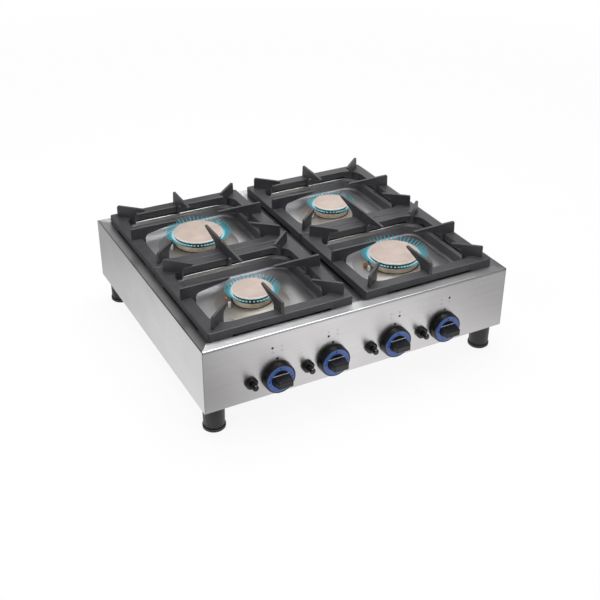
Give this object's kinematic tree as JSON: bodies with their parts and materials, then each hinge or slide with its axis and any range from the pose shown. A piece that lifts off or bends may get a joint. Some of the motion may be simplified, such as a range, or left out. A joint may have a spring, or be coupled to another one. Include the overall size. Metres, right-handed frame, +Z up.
{
  "type": "gas stove top",
  "caption": "Countertop gas stove in brushed steel with cast iron pan supports, round burners, turn knobs, push igniters and round adjustable feet.",
  "frame": {"origin": "on the floor, under the middle of the object's box", "axes": "+Z up, -Y towards the cook and the knobs, +X to the cook's right"},
  "size_m": [0.8, 0.788, 0.28],
  "materials": {
    "brushed_steel": "brushed",
    "galvanised_steel": "galvanised",
    "plated_steel": "zinc plated",
    "black_plastic": "satin",
    "blue_plastic": "satin",
    "enamelled_cast_iron": "matt enamel",
    "burner_casting": "nickel plated, heat tinted",
    "nickel_plated_crown": "nickel plated",
    "burner_cap_enamel": "matt",
    "ceramic": "glazed ceramic",
    "copper_alloy": "bare",
    "brass": "machined"
  },
  "bodies": {
    "root": {"worktop": "brushed_steel", "front_panel": "brushed_steel", "rear_panel": "brushed_steel", "left_side_panel": "brushed_steel", "right_side_panel": "brushed_steel", "base_panel": "galvanised_steel", "corner_brackets": "galvanised_steel", "burner_rails": "galvanised_steel", "foot_sleeves": "black_plastic", "burner_body_front_left": "burner_casting", "burner_body_front_right": "burner_casting", "burner_body_rear_left": "burner_casting", "burner_body_rear_right": "burner_casting", "flame_spreader_front_left": "nickel_plated_crown", "flame_spreader_front_right": "nickel_plated_crown", "flame_spreader_rear_left": "nickel_plated_crown", "flame_spreader_rear_right": "nickel_plated_crown", "spark_electrodes": "ceramic", "pilot_burners": "copper_alloy", "gas_valves": "brass", "igniter_collars": "black_plastic", "gas_manifold": "galvanised_steel", "gas_inlet": "brass", "injectors": "brass", "supply_pipes": "copper_alloy", "panel_screws": "plated_steel"},
    "adjuster_foot_front_left": {"adjuster_foot_front_left": "black_plastic"},
    "grate_front_left": {"grate_front_left": "enamelled_cast_iron"},
    "burner_cap_front_left": {"burner_cap_front_left": "burner_cap_enamel"},
    "tap_plug_front_left": {"tap_plug_front_left": "brass"},
    "knob_front_left": {"knob_front_left": "black_plastic", "knob_ring_front_left": "blue_plastic", "spindle_front_left": "plated_steel"},
    "igniter_button_front_left": {"igniter_button_front_left": "black_plastic"},
    "adjuster_foot_front_right": {"adjuster_foot_front_right": "black_plastic"},
    "grate_front_right": {"grate_front_right": "enamelled_cast_iron"},
    "burner_cap_front_right": {"burner_cap_front_right": "burner_cap_enamel"},
    "tap_plug_front_right": {"tap_plug_front_right": "brass"},
    "knob_front_right": {"knob_front_right": "black_plastic", "knob_ring_front_right": "blue_plastic", "spindle_front_right": "plated_steel"},
    "igniter_button_front_right": {"igniter_button_front_right": "black_plastic"},
    "adjuster_foot_rear_left": {"adjuster_foot_rear_left": "black_plastic"},
    "grate_rear_left": {"grate_rear_left": "enamelled_cast_iron"},
    "burner_cap_rear_left": {"burner_cap_rear_left": "burner_cap_enamel"},
    "tap_plug_rear_left": {"tap_plug_rear_left": "brass"},
    "knob_rear_left": {"knob_rear_left": "black_plastic", "knob_ring_rear_left": "blue_plastic", "spindle_rear_left": "plated_steel"},
    "igniter_button_rear_left": {"igniter_button_rear_left": "black_plastic"},
    "adjuster_foot_rear_right": {"adjuster_foot_rear_right": "black_plastic"},
    "grate_rear_right": {"grate_rear_right": "enamelled_cast_iron"},
    "burner_cap_rear_right": {"burner_cap_rear_right": "burner_cap_enamel"},
    "tap_plug_rear_right": {"tap_plug_rear_right": "brass"},
    "knob_rear_right": {"knob_rear_right": "black_plastic", "knob_ring_rear_right": "blue_plastic", "spindle_rear_right": "plated_steel"},
    "igniter_button_rear_right": {"igniter_button_rear_right": "black_plastic"}
  },
  "joints": [
    {"name": "tap_turn_front_left", "type": "hinge", "parent": "root", "child": "tap_plug_front_left", "pos_m": [-0.083, -0.35, 0.115], "axis": [0, -1, 0], "range_deg": [-90, 90]},
    {"name": "knob_push_front_left", "type": "slide", "parent": "tap_plug_front_left", "child": "knob_front_left", "axis": [0, 1, 0], "range_m": [0, 0.004], "stiffness_N_per_m": 2500},
    {"name": "igniter_press_front_left", "type": "slide", "parent": "root", "child": "igniter_button_front_left", "axis": [0, 1, 0], "range_m": [0, 0.005], "stiffness_N_per_m": 2500},
    {"name": "grate_lift_front_left", "type": "slide", "parent": "root", "child": "grate_front_left", "axis": [0, 0, 1], "range_m": [0, 0.06]},
    {"name": "cap_lift_front_left", "type": "slide", "parent": "root", "child": "burner_cap_front_left", "axis": [0, 0, 1], "range_m": [0, 0.025]},
    {"name": "foot_adjust_front_left", "type": "slide", "parent": "root", "child": "adjuster_foot_front_left", "axis": [0, 0, -1], "range_m": [0, 0.015]},
    {"name": "tap_turn_front_right", "type": "hinge", "parent": "root", "child": "tap_plug_front_right", "pos_m": [0.083, -0.35, 0.115], "axis": [0, -1, 0], "range_deg": [-90, 90]},
    {"name": "knob_push_front_right", "type": "slide", "parent": "tap_plug_front_right", "child": "knob_front_right", "axis": [0, 1, 0], "range_m": [0, 0.004], "stiffness_N_per_m": 2500},
    {"name": "igniter_press_front_right", "type": "slide", "parent": "root", "child": "igniter_button_front_right", "axis": [0, 1, 0], "range_m": [0, 0.005], "stiffness_N_per_m": 2500},
    {"name": "grate_lift_front_right", "type": "slide", "parent": "root", "child": "grate_front_right", "axis": [0, 0, 1], "range_m": [0, 0.06]},
    {"name": "cap_lift_front_right", "type": "slide", "parent": "root", "child": "burner_cap_front_right", "axis": [0, 0, 1], "range_m": [0, 0.025]},
    {"name": "foot_adjust_front_right", "type": "slide", "parent": "root", "child": "adjuster_foot_front_right", "axis": [0, 0, -1], "range_m": [0, 0.015]},
    {"name": "tap_turn_rear_left", "type": "hinge", "parent": "root", "child": "tap_plug_rear_left", "pos_m": [-0.2235, -0.35, 0.115], "axis": [0, -1, 0], "range_deg": [-90, 90]},
    {"name": "knob_push_rear_left", "type": "slide", "parent": "tap_plug_rear_left", "child": "knob_rear_left", "axis": [0, 1, 0], "range_m": [0, 0.004], "stiffness_N_per_m": 2500},
    {"name": "igniter_press_rear_left", "type": "slide", "parent": "root", "child": "igniter_button_rear_left", "axis": [0, 1, 0], "range_m": [0, 0.005], "stiffness_N_per_m": 2500},
    {"name": "grate_lift_rear_left", "type": "slide", "parent": "root", "child": "grate_rear_left", "axis": [0, 0, 1], "range_m": [0, 0.06]},
    {"name": "cap_lift_rear_left", "type": "slide", "parent": "root", "child": "burner_cap_rear_left", "axis": [0, 0, 1], "range_m": [0, 0.025]},
    {"name": "foot_adjust_rear_left", "type": "slide", "parent": "root", "child": "adjuster_foot_rear_left", "axis": [0, 0, -1], "range_m": [0, 0.015]},
    {"name": "tap_turn_rear_right", "type": "hinge", "parent": "root", "child": "tap_plug_rear_right", "pos_m": [0.2235, -0.35, 0.115], "axis": [0, -1, 0], "range_deg": [-90, 90]},
    {"name": "knob_push_rear_right", "type": "slide", "parent": "tap_plug_rear_right", "child": "knob_rear_right", "axis": [0, 1, 0], "range_m": [0, 0.004], "stiffness_N_per_m": 2500},
    {"name": "igniter_press_rear_right", "type": "slide", "parent": "root", "child": "igniter_button_rear_right", "axis": [0, 1, 0], "range_m": [0, 0.005], "stiffness_N_per_m": 2500},
    {"name": "grate_lift_rear_right", "type": "slide", "parent": "root", "child": "grate_rear_right", "axis": [0, 0, 1], "range_m": [0, 0.06]},
    {"name": "cap_lift_rear_right", "type": "slide", "parent": "root", "child": "burner_cap_rear_right", "axis": [0, 0, 1], "range_m": [0, 0.025]},
    {"name": "foot_adjust_rear_right", "type": "slide", "parent": "root", "child": "adjuster_foot_rear_right", "axis": [0, 0, -1], "range_m": [0, 0.015]}
  ]
}
